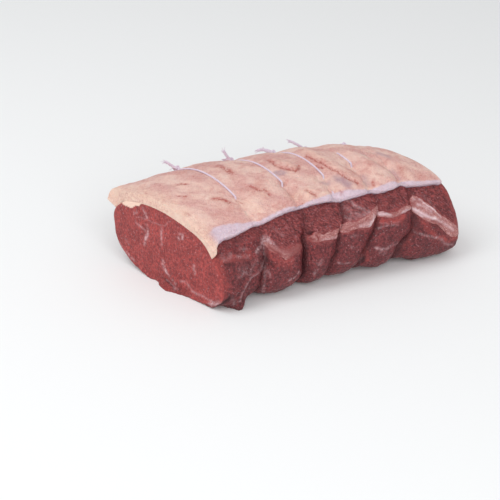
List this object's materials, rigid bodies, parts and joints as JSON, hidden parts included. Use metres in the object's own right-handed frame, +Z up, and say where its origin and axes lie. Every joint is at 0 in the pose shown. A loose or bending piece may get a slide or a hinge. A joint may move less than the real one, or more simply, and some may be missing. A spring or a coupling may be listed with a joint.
{
  "type": "raw tied beef roasting joint",
  "caption": "Raw boned beef roasting joint with a cap of fat over the lean and turns of butcher's string pinching it into lobes, cut flat at the left end.",
  "frame": {"origin": "middle of the bounding box's bottom face, on the surface the joint stands on", "axes": "+X along the joint from the flat left cut to the right end, -Y out of the lean side that faces the camera, +Z up through the fat cap"},
  "size_m": [0.2792, 0.1362, 0.0812],
  "materials": {
    "lean_meat": "moist raw lean beef, fine grained and glossy where wet",
    "fat": "cool raw beef fat, cream to pink, with a soft satin sheen",
    "string": "twisted white cotton, damp and slightly stained"
  },
  "bodies": {
    "root": {"lean": "lean_meat", "fat_cap": "fat", "seam_fat_2": "fat", "seam_fat_3": "fat", "seam_fat_4": "fat", "seam_fat_5": "fat", "seam_fat_6": "fat", "string_1": "string", "string_2": "string", "string_3": "string", "string_4": "string", "string_5": "string"}
  },
  "joints": []
}
